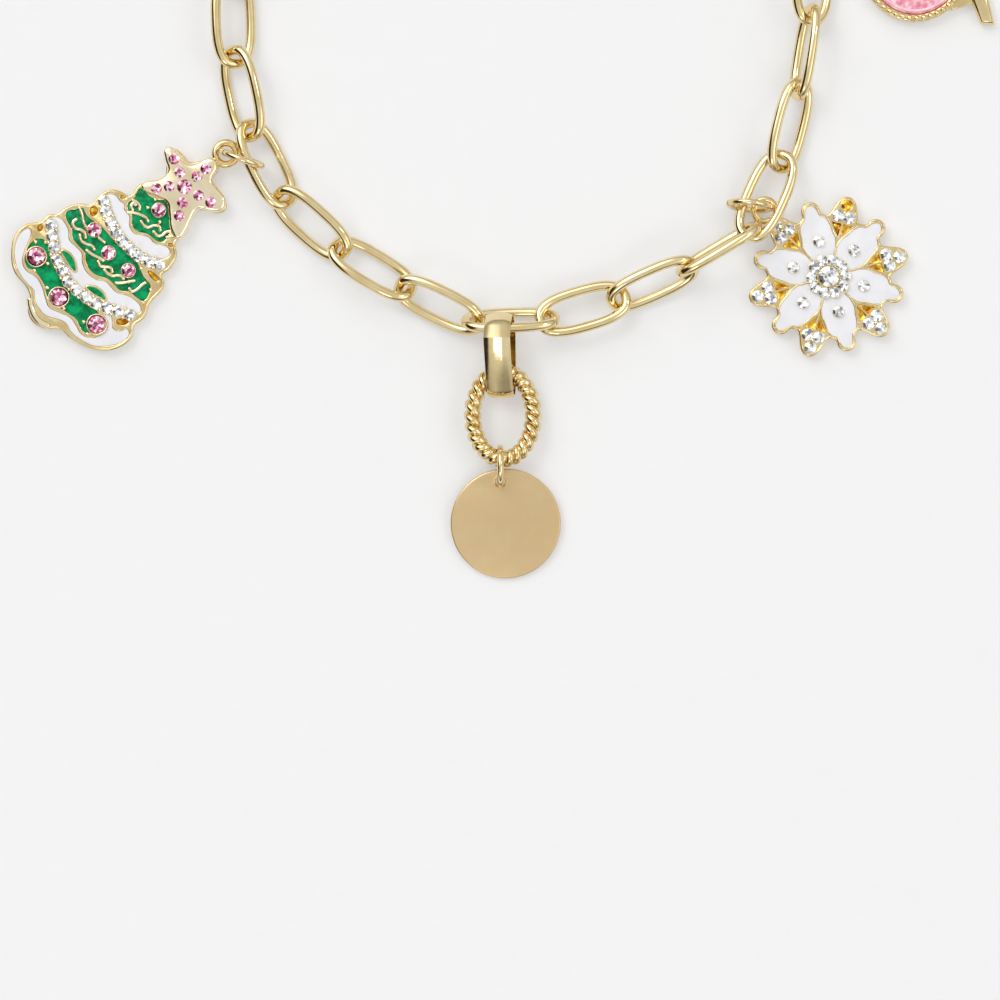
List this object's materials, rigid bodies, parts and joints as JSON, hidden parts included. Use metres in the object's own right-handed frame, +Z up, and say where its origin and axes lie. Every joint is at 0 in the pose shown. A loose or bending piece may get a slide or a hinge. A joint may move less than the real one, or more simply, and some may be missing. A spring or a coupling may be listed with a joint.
{
  "type": "charm necklace",
  "caption": "Link-chain necklace laid flat in a loop, with enamelled tree, snowflake and coin charms on jump rings and a centre drop of bail, textured ring and plain disc.",
  "frame": {"origin": "centre of the laid-out necklace's outline in plan, on the surface it lies on", "axes": "+Z up from the surface; +Y from the centre drop towards the clasp; +X towards the snowflake and coin charms"},
  "size_m": [0.1304, 0.194, 0.0079],
  "materials": {
    "gold": "polished pale gold plating",
    "satin_gold": "satin pale gold plating",
    "green_enamel": "glossy translucent green enamel",
    "white_enamel": "glossy white enamel",
    "pink_enamel": "glossy pink enamel",
    "clear_crystal": "foil-backed faceted clear crystal",
    "pink_crystal": "foil-backed faceted pink crystal"
  },
  "bodies": {
    "root": {"link_01": "gold", "link_02": "gold", "link_03": "gold", "link_04": "gold", "link_05": "gold", "link_06": "gold", "link_07": "gold", "link_08": "gold", "link_09": "gold", "link_10": "gold", "link_11": "gold", "link_12": "gold", "link_13": "gold", "link_14": "gold", "link_15": "gold", "link_16": "gold", "link_17": "gold", "link_18": "gold", "link_19": "gold", "link_20": "gold", "link_21": "gold", "link_22": "gold", "link_23": "gold", "link_24": "gold", "link_25": "gold", "link_26": "gold", "link_27": "gold", "link_28": "gold", "link_29": "gold", "link_30": "gold", "link_31": "gold", "link_32": "gold", "link_33": "gold", "link_34": "gold", "link_35": "gold", "link_36": "gold", "link_37": "gold", "link_38": "gold", "link_39": "gold", "clasp": "gold", "clasp_ring": "gold", "tree_jump_ring": "gold", "snowflake_jump_ring": "gold", "coin_jump_ring": "gold", "tree_casting": "gold", "snowflake_casting": "gold", "coin_casting": "gold", "bail": "gold", "rope_ring": "gold", "disc_ring": "gold", "disc": "satin_gold", "tree_green_top": "green_enamel", "tree_green_middle": "green_enamel", "tree_green_bottom": "green_enamel", "tree_white_top": "white_enamel", "tree_white_middle": "white_enamel", "tree_white_base": "white_enamel", "snowflake_enamel": "white_enamel", "coin_enamel": "pink_enamel"}
  },
  "joints": []
}
